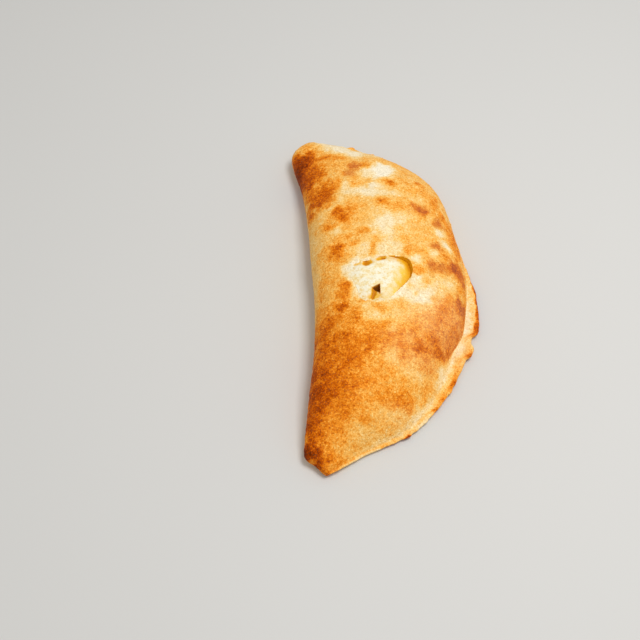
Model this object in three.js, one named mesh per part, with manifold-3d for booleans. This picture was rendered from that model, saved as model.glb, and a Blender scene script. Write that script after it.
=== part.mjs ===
// A calzone: a disc of pizza dough folded over its filling, sealed along the round edge and baked.
// Millimetres. X runs from the fold towards the sealed edge, Y along the fold from the thin pinched
// tip to the blunt nose, Z up. The origin is at the centre of the underside.
import * as THREE from 'three';
import Module from 'manifold-3d';

const wasm = await Module();
wasm.setup();
const { lerp, smoothstep } = THREE.MathUtils;

// ---------------------------------------------------------------- driving dimensions

const TIP = [-36.4, -131.2];
const NOSE = [-50.5, 125];

// Plan of the folded side, from the tip to the nose: nearly straight, a little hollow.
const FOLD_EDGE = [TIP, [-43, -125], [-48.6, -120.4], [-48.8, -110], [-47.6, -96], [-44, -56],
  [-43.6, -20], [-46.4, 24], [-49.6, 62], [-53.8, 88], [-58.2, 103.5], [-59.4, 114], NOSE];

// Plan of the sealed side, from the tip round the widest point to the nose.
const SEAM_EDGE = [TIP, [-27.4, -126], [-15.2, -118], [-2.8, -111.8], [10.4, -105.2], [21.5, -96],
  [31, -84.6], [38.6, -73], [45.2, -60], [54.2, -38], [58, -22], [58.8, -8], [57.6, 4], [54.6, 15.6],
  [51.3, 30], [48.7, 45], [46.1, 60.6], [40.4, 79], [30, 96], [11, 113], [-5, 121.6], [-19, 127.8],
  [-33, 130.2], NOSE];

// Sizes that change from the tip (share 0) to the nose (share 1), as [share, size].
const RIDGE_HEIGHT = [[0, 3.5], [0.03, 7], [0.09, 15], [0.18, 25], [0.3, 32.5], [0.45, 36.5],
  [0.58, 36], [0.7, 31.5], [0.8, 25.5], [0.88, 20], [0.94, 16.5], [0.975, 12.5], [1, 5]];
// The lower layer of dough reaches out past the upper one by this much, as a bare lip.
const LIP_WIDTH = [[0, 1], [0.08, 2], [0.15, 3.5], [0.2, 6], [0.27, 10], [0.33, 11], [0.38, 7.2],
  [0.42, 7.2], [0.47, 6], [0.51, 3], [0.56, 1], [0.7, 1.2], [0.78, 3], [0.86, 6.5], [0.94, 7], [1, 2]];
// The lip's rim is ragged: it bulges and is notched by this much.
const LIP_LOBES = [[0, 0], [0.19, 0], [0.205, -0.6], [0.215, 0], [0.32, 0], [0.326, -0.3], [0.335, 2],
  [0.352, 1.2], [0.366, -1.3], [0.374, -1.4], [0.385, 1.6], [0.405, 1.2], [0.45, 0], [1, 0]];

const LIP_THICKNESS = 5;
const LIP_LIFT = 1.2; // the lip's rim curls up off the surface below
const TIP_LIFT = 1.6;
const TIP_LIFT_END = 0.09; // share of the way at which the tip comes down
const FOLD_BELLY = 12; // height of the widest point of the folded side
const FOLD_FOOT = 6; // how far the folded side rolls in under itself
const RIDGE_ACROSS = 0.42; // the ridge's place, as a share of the way from fold to seam
const FOLD_SQUARENESS = 2.4; // exponents of the superellipses each side of the ridge
const SEAM_SQUARENESS = 1.95;
const CRUST_WALL = 4.4;
const GAP = 0.3;

// Swellings raised by steam and hollows between them, as [x, y, radius, height].
const SWELLS = [
  [-30, 78, 12, 1.2], [-6, 92, 13, 1.3], [18, 70, 12, 1.2], [-36, 48, 11, 1.1], [34, 52, 11, 1.1],
  [2, 50, 12, 0.9], [-34, 14, 11, 1.2], [38, 18, 12, 1.2], [-30, -22, 10, 1], [36, -18, 12, 1],
  [-22, -52, 14, 1.2], [20, -52, 14, 1], [-26, -86, 12, 1.1], [6, -78, 12, 0.9],
  [-36, 62, 9, -1], [-12, 68, 10, -1.1], [22, 88, 9, -0.8], [-18, 32, 11, -1], [22, 36, 10, -0.9],
  [16, -32, 9, -0.8], [-4, -100, 9, -0.7],
];
const SWELL_FADE = 8; // height over which the swellings fade in above the belly

// The vent: steam has torn the crust open near the ridge. Its edge runs clockwise in plan.
const VENT_EDGE = [[-19.3, -3], [-11.5, 0.2], [-2.3, 3.3], [7.4, 3.8], [14.2, 2.6], [16.2, -2.5],
  [15.2, -10.7], [12.5, -15.5], [6.9, -22.9], [0.2, -27.2], [-6.4, -30], [-13, -28.4], [-18.4, -24],
  [-21.4, -16.7], [-21.8, -9]];
const VENT_CENTRE = [-3, -13];
const VENT_FLOOR = 22; // the cut reaches down into the space for the filling
const CHEESE_PROUD = 0.5; // the cheese wells up this far above the crust in the middle of the vent
const CHEESE_SUNK = 3.8; // and lies this far down at its right-hand end
const CHEESE_SLOPE = [0, 12]; // x where it starts to drop and where it is down
const VENT_CREST = { x: -3, height: 36.2, fall: 0.0045 }; // the crust's curve across the vent
// A deep three-cornered hole that steam left in the cheese, beside the vent's near edge.
const STEAM_HOLE = [[-9.4, -20.4], [-4.4, -19.8], [-5.2, -26.8], [-7, -27.4]];
const STEAM_HOLE_CENTRE = [-6, -22.5];
const STEAM_HOLE_DEPTH = 7;
const CLEAR_ABOVE = 10; // cuts start this far above the vent

// The space for the filling, as shares of the way from tip to nose.
const FILLING_FROM = 0.14;
const FILLING_TO = 0.93;

// How finely each surface is divided.
const OUTER_STATIONS = 86;
const INNER_STATIONS = 24;
const FOLD_STEPS = 8;
const SEAM_STEPS = 12;
const BASE_STEPS = 5;
const FOOT_STEPS = 4;
const INNER_STEPS = 8;
const VENT_STEPS = 40;
const VENT_RINGS = 5;

// ---------------------------------------------------------------- smooth lines

function planCurve(points, closed = false) {
  const curve = new THREE.CatmullRomCurve3(points.map(([x, y]) => new THREE.Vector3(x, y, 0)), closed);
  curve.arcLengthDivisions = 1200;
  return curve;
}

const foldCurve = planCurve(FOLD_EDGE);
const seamCurve = planCurve(SEAM_EDGE);
const ventCurve = planCurve(VENT_EDGE, true);

// A smooth value through stations of [share, value] that never overshoots them.
function through(stations, share) {
  const last = stations.length - 1;
  let k = 0;
  while (k < last - 1 && share > stations[k + 1][0]) k += 1;
  const slope = (i) => (stations[i + 1][1] - stations[i][1]) / (stations[i + 1][0] - stations[i][0]);
  const tangent = (i) => {
    if (i === 0) return slope(0);
    if (i === last) return slope(last - 1);
    const before = slope(i - 1);
    const after = slope(i);
    return before * after <= 0 ? 0 : (2 * before * after) / (before + after);
  };
  const span = stations[k + 1][0] - stations[k][0];
  const s = (share - stations[k][0]) / span;
  const bend = tangent(k) * s * (1 - s) ** 2 - tangent(k + 1) * s ** 2 * (1 - s);
  return lerp(stations[k][1], stations[k + 1][1], s * s * (3 - 2 * s)) + span * bend;
}

// A quarter of a superellipse from its side (turn 0) to its crown (turn 1), as [inward, up] shares.
function quarter(turn, power) {
  const angle = (turn * Math.PI) / 2;
  return [1 - Math.cos(angle) ** (2 / power), Math.sin(angle) ** (2 / power)];
}

// ---------------------------------------------------------------- one section across the calzone

// Where a section lies, and its sizes, at a share of the way from tip to nose.
function stationAt(share) {
  const fold = foldCurve.getPointAt(share);
  const across = seamCurve.getPointAt(share).sub(fold);
  const width = across.length();
  across.normalize();
  const alongSeam = seamCurve.getTangentAt(share);
  const squareness = Math.abs(across.x * alongSeam.y - across.y * alongSeam.x);
  const height = through(RIDGE_HEIGHT, share);
  return {
    fold,
    across,
    width,
    height,
    ridge: RIDGE_ACROSS * width,
    lip: Math.min(through(LIP_WIDTH, share) / Math.max(squareness, 0.4), 0.3 * width),
    lobe: through(LIP_LOBES, share),
    lipThickness: Math.min(LIP_THICKNESS, 0.6 * height),
    belly: Math.min(FOLD_BELLY, 0.42 * height),
    foot: Math.min(FOLD_FOOT, 0.15 * width),
    lift: TIP_LIFT * (1 - smoothstep(share, 0, TIP_LIFT_END)),
  };
}

// The outer outline as [across, up] pairs, from the fold over the top to the seam and back below.
function outerSection(s) {
  const crease = s.width - s.lip;
  const pairs = [];
  for (let i = 0; i < FOLD_STEPS; i += 1) {
    const [inward, up] = quarter(i / FOLD_STEPS, FOLD_SQUARENESS);
    pairs.push([s.ridge * inward, lerp(s.belly, s.height, up)]);
  }
  for (let i = SEAM_STEPS; i >= 0; i -= 1) {
    const [inward, up] = quarter(i / SEAM_STEPS, SEAM_SQUARENESS);
    pairs.push([lerp(crease, s.ridge, inward), lerp(s.lipThickness, s.height, up)]);
  }
  const lift = (LIP_LIFT * s.lip) / (s.lip + 2);
  const rim = s.width + s.lobe;
  pairs.push([crease + 0.45 * s.lip, s.lipThickness]);
  pairs.push([rim - 0.14 * s.lip, lerp(lift, s.lipThickness, 0.8)]);
  pairs.push([rim, lerp(lift, s.lipThickness, 0.42)]);
  pairs.push([rim - 0.14 * s.lip, lift]);
  const baseEnd = s.width - 1.2 * s.lip;
  for (let i = 0; i <= BASE_STEPS; i += 1) {
    pairs.push([lerp(baseEnd, s.foot, i / BASE_STEPS), 0]);
  }
  for (let i = 1; i < FOOT_STEPS; i += 1) {
    const angle = ((i / FOOT_STEPS) * Math.PI) / 2;
    pairs.push([s.foot * (1 - Math.sin(angle)), s.belly * (1 - Math.cos(angle))]);
  }
  return pairs;
}

// The same section drawn in by the crust's wall, for the filling and the space it lies in.
function innerSection(s, wall) {
  const crease = s.width - s.lip - 1.6 * wall;
  const seamHeight = wall + 1.5;
  const top = s.height - wall;
  const pairs = [];
  for (let i = 0; i < INNER_STEPS; i += 1) {
    const [inward, up] = quarter(i / INNER_STEPS, FOLD_SQUARENESS);
    pairs.push([lerp(wall, s.ridge, inward), lerp(s.belly, top, up)]);
  }
  for (let i = INNER_STEPS; i >= 0; i -= 1) {
    const [inward, up] = quarter(i / INNER_STEPS, SEAM_SQUARENESS);
    pairs.push([lerp(crease, s.ridge, inward), lerp(seamHeight, top, up)]);
  }
  for (let i = 1; i <= BASE_STEPS; i += 1) {
    pairs.push([lerp(crease, s.foot + wall, i / BASE_STEPS), wall]);
  }
  pairs.push([wall + 0.3 * s.foot, lerp(wall, s.belly, 0.3)]);
  return pairs;
}

function placeOn(s, [along, up]) {
  return new THREE.Vector3(s.fold.x + s.across.x * along, s.fold.y + s.across.y * along, up);
}

function swellAt(x, y) {
  let sum = 0;
  for (const [centreX, centreY, radius, height] of SWELLS) {
    const away = ((x - centreX) ** 2 + (y - centreY) ** 2) / radius ** 2;
    sum += height * Math.exp(-1.5 * away);
  }
  return sum;
}

function outerRing(share) {
  const s = stationAt(share);
  return outerSection(s).map((pair) => {
    const point = placeOn(s, pair);
    const onTop = smoothstep(point.z, s.belly, s.belly + SWELL_FADE);
    point.z += onTop * swellAt(point.x, point.y) + s.lift;
    return point;
  });
}

function innerRing(share, wall) {
  const s = stationAt(share);
  return innerSection(s, wall).map((pair) => placeOn(s, pair));
}

// ---------------------------------------------------------------- closed skins and solids

// Shares of the way between two limits, closer together towards both.
function shares(count, from, to) {
  const list = [];
  for (let i = 1; i < count; i += 1) {
    const even = i / count;
    const eased = 0.5 - 0.5 * Math.cos(Math.PI * even);
    list.push(lerp(from, to, lerp(even, eased, 0.5)));
  }
  return list;
}

// A closed skin over rings of points, drawn to a point at each end.
function loft(rings, firstPole, lastPole) {
  const count = rings[0].length;
  const points = [firstPole, ...rings.flat(), lastPole];
  const triangles = [];
  const at = (ring, step) => 1 + ring * count + (step % count);
  const lastRing = rings.length - 1;
  for (let j = 0; j < count; j += 1) {
    triangles.push(0, at(0, j + 1), at(0, j));
    triangles.push(points.length - 1, at(lastRing, j), at(lastRing, j + 1));
    for (let i = 0; i < lastRing; i += 1) {
      triangles.push(at(i, j), at(i, j + 1), at(i + 1, j + 1));
      triangles.push(at(i, j), at(i + 1, j + 1), at(i + 1, j));
    }
  }
  return toSolid(points, triangles);
}

function toSolid(points, triangles) {
  const vertProperties = new Float32Array(points.flatMap((p) => [p.x, p.y, p.z]));
  const triVerts = new Uint32Array(triangles);
  return new wasm.Manifold(new wasm.Mesh({ numProp: 3, vertProperties, triVerts }));
}

function toMesh(solid, name, material) {
  const { vertProperties, triVerts } = solid.getMesh();
  const geometry = new THREE.BufferGeometry();
  geometry.setAttribute('position', new THREE.BufferAttribute(new Float32Array(vertProperties), 3));
  geometry.setIndex(new THREE.BufferAttribute(new Uint32Array(triVerts), 1));
  geometry.computeVertexNormals();
  const mesh = new THREE.Mesh(geometry, material);
  mesh.name = name;
  return mesh;
}

// A closed block under an outline that runs clockwise in plan; its top follows a height in plan.
function block(outline, centre, rings, bottom, topAt) {
  const steps = outline.length;
  const points = [];
  const triangles = [];
  for (let ring = 1; ring <= rings; ring += 1) {
    for (const edge of outline) {
      const x = lerp(centre[0], edge[0], ring / rings);
      const y = lerp(centre[1], edge[1], ring / rings);
      points.push(new THREE.Vector3(x, y, topAt(x, y)));
    }
  }
  outline.forEach(([x, y]) => points.push(new THREE.Vector3(x, y, bottom)));
  const top = points.push(new THREE.Vector3(centre[0], centre[1], topAt(...centre))) - 1;
  const base = points.push(new THREE.Vector3(centre[0], centre[1], bottom)) - 1;
  for (let i = 0; i < steps; i += 1) {
    const next = (i + 1) % steps;
    triangles.push(top, next, i);
    for (let near = 0; near < rings * steps; near += steps) {
      const far = near + steps;
      triangles.push(near + i, far + next, far + i);
      triangles.push(near + i, near + next, far + next);
    }
    triangles.push(base, rings * steps + i, rings * steps + next);
  }
  return toSolid(points, triangles);
}

// ---------------------------------------------------------------- the pieces

function doughOutside() {
  const rings = shares(OUTER_STATIONS, 0, 1).map(outerRing);
  const tip = new THREE.Vector3(TIP[0], TIP[1], TIP_LIFT + 0.4 * RIDGE_HEIGHT[0][1]);
  const nose = new THREE.Vector3(NOSE[0], NOSE[1], 4);
  return loft(rings, tip, nose);
}

// The space inside the crust, or the filling when the wall includes the gap between them.
function inside(wall) {
  const shrink = (wall - CRUST_WALL) / 250;
  const from = FILLING_FROM + shrink;
  const to = FILLING_TO - shrink;
  const rings = shares(INNER_STATIONS, from, to).map((share) => innerRing(share, wall));
  const [first, last] = [from, to].map((share) => {
    const s = stationAt(share);
    return placeOn(s, [s.ridge, 0.5 * s.height]);
  });
  return loft(rings, first, last);
}

// The vent's edge, drawn in by a distance.
function ventOutline(inset) {
  const outline = [];
  for (let i = 0; i < VENT_STEPS; i += 1) {
    const point = ventCurve.getPointAt(i / VENT_STEPS);
    const tangent = ventCurve.getTangentAt(i / VENT_STEPS);
    outline.push([point.x + tangent.y * inset, point.y - tangent.x * inset]);
  }
  return outline;
}

// Height of the melted cheese in the vent: proud in the middle, sunk towards the seam.
function cheeseHeight(x) {
  const crust = VENT_CREST.height - VENT_CREST.fall * (x - VENT_CREST.x) ** 2;
  return crust + CHEESE_PROUD - CHEESE_SUNK * smoothstep(x, ...CHEESE_SLOPE);
}

function crust() {
  const vent = block(ventOutline(0), VENT_CENTRE, 1, VENT_FLOOR, () => VENT_CREST.height + CLEAR_ABOVE);
  return doughOutside().subtract(inside(CRUST_WALL)).subtract(vent);
}

function filling() {
  const welled = block(ventOutline(GAP), VENT_CENTRE, VENT_RINGS, VENT_FLOOR, cheeseHeight);
  const holeFloor = VENT_CREST.height - STEAM_HOLE_DEPTH;
  const holeTop = () => VENT_CREST.height + CLEAR_ABOVE;
  const hole = block(STEAM_HOLE, STEAM_HOLE_CENTRE, 1, holeFloor, holeTop);
  return inside(CRUST_WALL + GAP).add(welled).subtract(hole);
}

const crustMaterial = new THREE.MeshStandardMaterial({ color: 0xe8a452, roughness: 0.6, metalness: 0 });
const cheeseMaterial = new THREE.MeshStandardMaterial({ color: 0xf9efc6, roughness: 0.4, metalness: 0 });

const calzone = new THREE.Group();
calzone.add(toMesh(crust(), 'crust', crustMaterial));
calzone.add(toMesh(filling(), 'filling', cheeseMaterial));

// The origin goes to the middle of the underside.
const box = new THREE.Box3().setFromObject(calzone);
const middle = box.getCenter(new THREE.Vector3());
calzone.position.set(-middle.x, -middle.y, -box.min.z);

export default calzone;
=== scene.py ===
"""A baked calzone: a round of pizza dough folded over melted cheese, its blistered crust toasted in
patches and torn open at a vent. Plans and sections are worked out in millimetres, as in the solid
model, and become metres when a mesh is made. X runs from the fold to the sealed edge, Y from the
pinched tip to the blunt nose, and Z up."""

import math

import bpy
import numpy as np
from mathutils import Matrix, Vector
from mathutils.bvhtree import BVHTree
from mathutils.kdtree import KDTree


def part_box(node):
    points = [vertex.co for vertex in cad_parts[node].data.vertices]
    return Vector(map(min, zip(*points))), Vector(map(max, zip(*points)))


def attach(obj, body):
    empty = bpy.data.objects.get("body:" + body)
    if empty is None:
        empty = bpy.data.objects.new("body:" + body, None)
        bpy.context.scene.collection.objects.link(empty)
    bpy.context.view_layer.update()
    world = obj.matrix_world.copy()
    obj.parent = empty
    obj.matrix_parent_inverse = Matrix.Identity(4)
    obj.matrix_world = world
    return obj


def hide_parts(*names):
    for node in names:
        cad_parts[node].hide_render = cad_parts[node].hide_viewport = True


MM = 0.001

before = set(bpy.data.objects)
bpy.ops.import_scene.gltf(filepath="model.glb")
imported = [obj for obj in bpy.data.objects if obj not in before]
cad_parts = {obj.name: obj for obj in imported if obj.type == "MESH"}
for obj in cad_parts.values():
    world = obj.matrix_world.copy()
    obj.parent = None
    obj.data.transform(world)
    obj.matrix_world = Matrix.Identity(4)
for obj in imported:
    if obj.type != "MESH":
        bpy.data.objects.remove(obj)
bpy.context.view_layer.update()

# ---------------------------------------------------------------- driving sizes

TIP = (-36.5, -130.5)
NOSE = (-50.5, 125)
NOSE_LEVEL = 4

# Plan of the folded side, from the tip to the nose.
FOLD_EDGE = [TIP, (-38.7, -129.3), (-43, -125), (-48.6, -120.4), (-48.8, -110), (-47.6, -96),
             (-44, -56), (-43.6, -20), (-46.4, 24), (-49.6, 62), (-53.8, 88), (-58.2, 103.5),
             (-59.4, 114), NOSE]

# Plan of the sealed side, from the tip round the widest point to the nose.
SEAM_EDGE = [TIP, (-34.2, -129.9), (-27.4, -126), (-15.2, -118), (-2.8, -111.8), (10.4, -105.2),
             (21.5, -96), (31, -84.6), (38.6, -73), (45.2, -60), (54.2, -38), (58, -22), (58.8, -8),
             (57.6, 4), (54.6, 15.6), (51.3, 30), (48.7, 45), (46.1, 60.6), (40.4, 79), (30, 96),
             (11, 113), (-5, 121.6), (-19, 127.8), (-33, 130.2), NOSE]

# Sizes that change from the tip (share 0) to the nose (share 1), as (share, size).
RIDGE_HEIGHT = [(0, 3.5), (0.03, 7), (0.09, 15), (0.18, 25), (0.3, 32.5), (0.45, 36.5), (0.58, 36),
                (0.7, 31.5), (0.8, 25.5), (0.88, 20), (0.94, 16.5), (0.975, 12.5), (1, 5)]
LIP_WIDTH = [(0, 1), (0.08, 2), (0.15, 3.5), (0.2, 5), (0.27, 8), (0.33, 9.4), (0.38, 7.5), (0.42, 8),
             (0.47, 6), (0.51, 3), (0.56, 1), (0.7, 1.2), (0.78, 3), (0.86, 6.5), (0.94, 7), (1, 2)]
# Small lobes that stand out from the lip's rim, and nicks in it below 0.
LIP_LOBES = [(0, 0), (0.134, 0), (0.147, 1.2), (0.156, 0), (0.19, 0), (0.205, -0.6), (0.215, 0),
             (0.32, 0), (0.326, -0.3), (0.335, 2), (0.352, 1.2), (0.366, -1.3), (0.374, -1.4),
             (0.385, 1.6), (0.405, 1.2), (0.45, 0), (0.838, 0), (0.845, 1.5), (0.852, 0), (0.86, 0),
             (0.866, 1.7), (0.873, 0), (0.9, 0), (0.908, 1.8), (0.916, 0), (1, 0)]
RAGGEDNESS = [(0, 1), (0.35, 1), (0.385, 0.5), (0.42, 0.25), (0.6, 0.3), (0.78, 1), (1, 1)]
LIP_THICKNESS = [(0, 2.4), (0.12, 2.6), (0.2, 3.2), (0.28, 4), (0.34, 5), (1, 5)]
# How square the sealed side is: gentle where the dome runs out into the lip, steep elsewhere.
SEAM_SQUARENESS = [(0, 1.35), (0.14, 1.4), (0.24, 1.5), (0.3, 1.72), (0.36, 1.95), (1, 1.95)]
FOLD_SQUARENESS = 2.4
RIDGE_ACROSS = 0.42
FOLD_BELLY = 12
FOLD_FOOT = 6
# The most that these may be of a section's height or width, which counts near the calzone's ends.
BELLY_OF_HEIGHT = 0.42
THICKNESS_OF_HEIGHT = 0.6
FOOT_OF_WIDTH = 0.15
LIP_OF_WIDTH = 0.3
# How far the lip's rim and the tip stand off the surface that the calzone lies on, and the share at
# which the tip's lift has ended.
LIP_LIFT = 2
TIP_LIFT = 1.6
TIP_LIFT_END = 0.09

# The crust's thickness and the gap between it and the filling, which runs between these shares.
CRUST_WALL = 4.4
GAP = 0.3
FILLING_FROM = 0.14
FILLING_TO = 0.93
FOLD_LENGTH = 250
# How far inside the crease the filling ends, in thicknesses of the crust, and its height there.
FILLING_INSET = 1.6
FILLING_EDGE = 1.5

# Swellings raised by steam and hollows between them, as (x, y, radius, height).
SWELLS = [(-30, 78, 12, 1.2), (-6, 92, 13, 1.3), (18, 70, 12, 1.2), (-36, 48, 11, 1.1),
          (34, 52, 11, 1.1), (2, 50, 12, 0.9), (-34, 14, 11, 1.2), (38, 18, 12, 1.2), (-30, -22, 10, 1),
          (36, -18, 12, 1), (-22, -52, 14, 1.2), (20, -52, 14, 1), (-26, -86, 12, 1.1),
          (6, -78, 12, 0.9), (-36, 62, 9, -1), (-12, 68, 10, -1.1), (22, 88, 9, -0.8),
          (-18, 32, 11, -1), (22, 36, 10, -0.9), (16, -32, 9, -0.8), (-4, -100, 9, -0.7)]
SWELL_FADE = 8

# The vent's edge runs clockwise in plan.
VENT_EDGE = [(-19.3, -3.2), (-13.5, -1.2), (-8.8, 0.2), (-3, 2.6), (3, 2.8), (8, 3.2), (12.4, 2.6),
             (15.2, 0.2), (16.3, -4), (16.1, -9), (14, -13.6), (10.2, -18.6), (6, -23.2), (0, -27.2),
             (-6.4, -30), (-12.8, -28.8), (-16.4, -24.6), (-18.6, -17.5), (-20.6, -10)]
VENT_CENTRE = (-3, -13)
VENT_FLOOR = 22
CHEESE_FLOOR = VENT_FLOOR + 1
STEAM_HOLE = [(-8.4, -22.2), (-4.6, -20.2), (-4.6, -25.8)]
STEAM_HOLE_DEPTH = 3.6

# ---------------------------------------------------------------- baking, as it differs over the crust

# How browned the dough is, as (x, y, reach in x, reach in y, level). Level 0 is bare cream dough,
# 0.5 is golden orange and 1 is dark brown. Later patches are laid over earlier ones.
GROUNDS = [
    (-32, 84, 20, 26, 0.46), (4, 58, 44, 52, 0.38), (-8, 14, 34, 24, 0.32), (30, 8, 22, 26, 0.38),
    (-31, 6, 12, 30, 0.44), (-46, 20, 7, 60, 0.32), (-34, -20, 12, 20, 0.46), (2, -30, 34, 13, 0.30),
    (26, -36, 24, 12, 0.51), (38, -36, 12, 19, 0.62), (-32, -62, 20, 34, 0.70), (-6, -53, 22, 12, 0.57),
    (14, -54, 26, 12, 0.57), (-2, -74, 18, 14, 0.53), (16, -74, 18, 14, 0.46), (2, -90, 20, 10, 0.53),
    (-44, -84, 7, 40, 0.66), (-24, -102, 16, 14, 0.60), (-4, -106, 26, 12, 0.44),
    (-38, -116, 12, 18, 0.62),
]
PALE_PATCHES = [
    (-36, 117, 9, 7, 0.12), (-26, 112, 11, 8, 0.04), (-16, 106, 9, 7, 0.06), (-5, 104, 8, 4, 0.22),
    (0, 83, 12, 10, 0.00), (3, 84, 10, 8, -0.12), (-10, 80, 7, 6, 0.12), (-9, 61, 13, 6, 0.08),
    (8, 60, 9, 4, 0.18), (-23, 65, 5, 9, 0.18), (-28, 57, 4.5, 7, 0.22), (-34, 48.5, 4.5, 5, 0.28),
    (-42, 41, 5, 6, 0.38), (2, 31, 12, 12, 0.10), (11, 39, 9, 5, 0.20), (-12, 8, 9, 9, 0.23),
    (-2, 8, 5, 10, 0.15), (6, 14, 9, 10, 0.16), (-28, 27, 7, 4, 0.22), (-38, 20, 5, 7, 0.34),
    (36, 30, 5, 5, 0.10), (39, 19, 4.5, 6, 0.06), (30, 10, 4.5, 4.5, 0.22), (19, 3, 4, 4, 0.10),
    (23, 57, 5, 4, 0.28), (19, -14, 8, 8, 0.10), (28, -19, 9, 7, 0.20), (36, -12, 9, 6, 0.22),
    (18, -27, 14, 7, 0.06), (9, -26, 8, 5, 0.10), (-24, -6, 5, 5, 0.10), (-19, -12, 5, 14, 0.02),
    (-16, -27, 4, 5, 0.06), (-8, -39, 9, 7, 0.26), (5, -41, 10, 5, 0.31), (18, -34, 9, 4, 0.31),
    (3, -49, 6, 3.4, 0.42), (3, -68, 7, 7, 0.34), (14, -74, 7, 6, 0.35), (34.5, -66, 5.5, 7, 0.16),
    (31, -73, 5, 4.5, 0.28), (-27, -47, 8, 5, 0.50), (-45, 0, 4, 40, 0.31), (-4, 68, 9, 4, 0.08),
    (-6, 58, 7, 4, 0.12), (-34, 37, 5, 3, 0.40), (-23.5, -11, 3.4, 3, 0.22), (18, -92, 6, 5, 0.30),
    (22, -99, 9, 6, 0.16), (31, -94, 7, 6, 0.20), (-4, -100, 8, 4, 0.38), (4, -98, 6, 4, 0.36),
    (-14, -110, 12, 5, 0.36),
]
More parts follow.
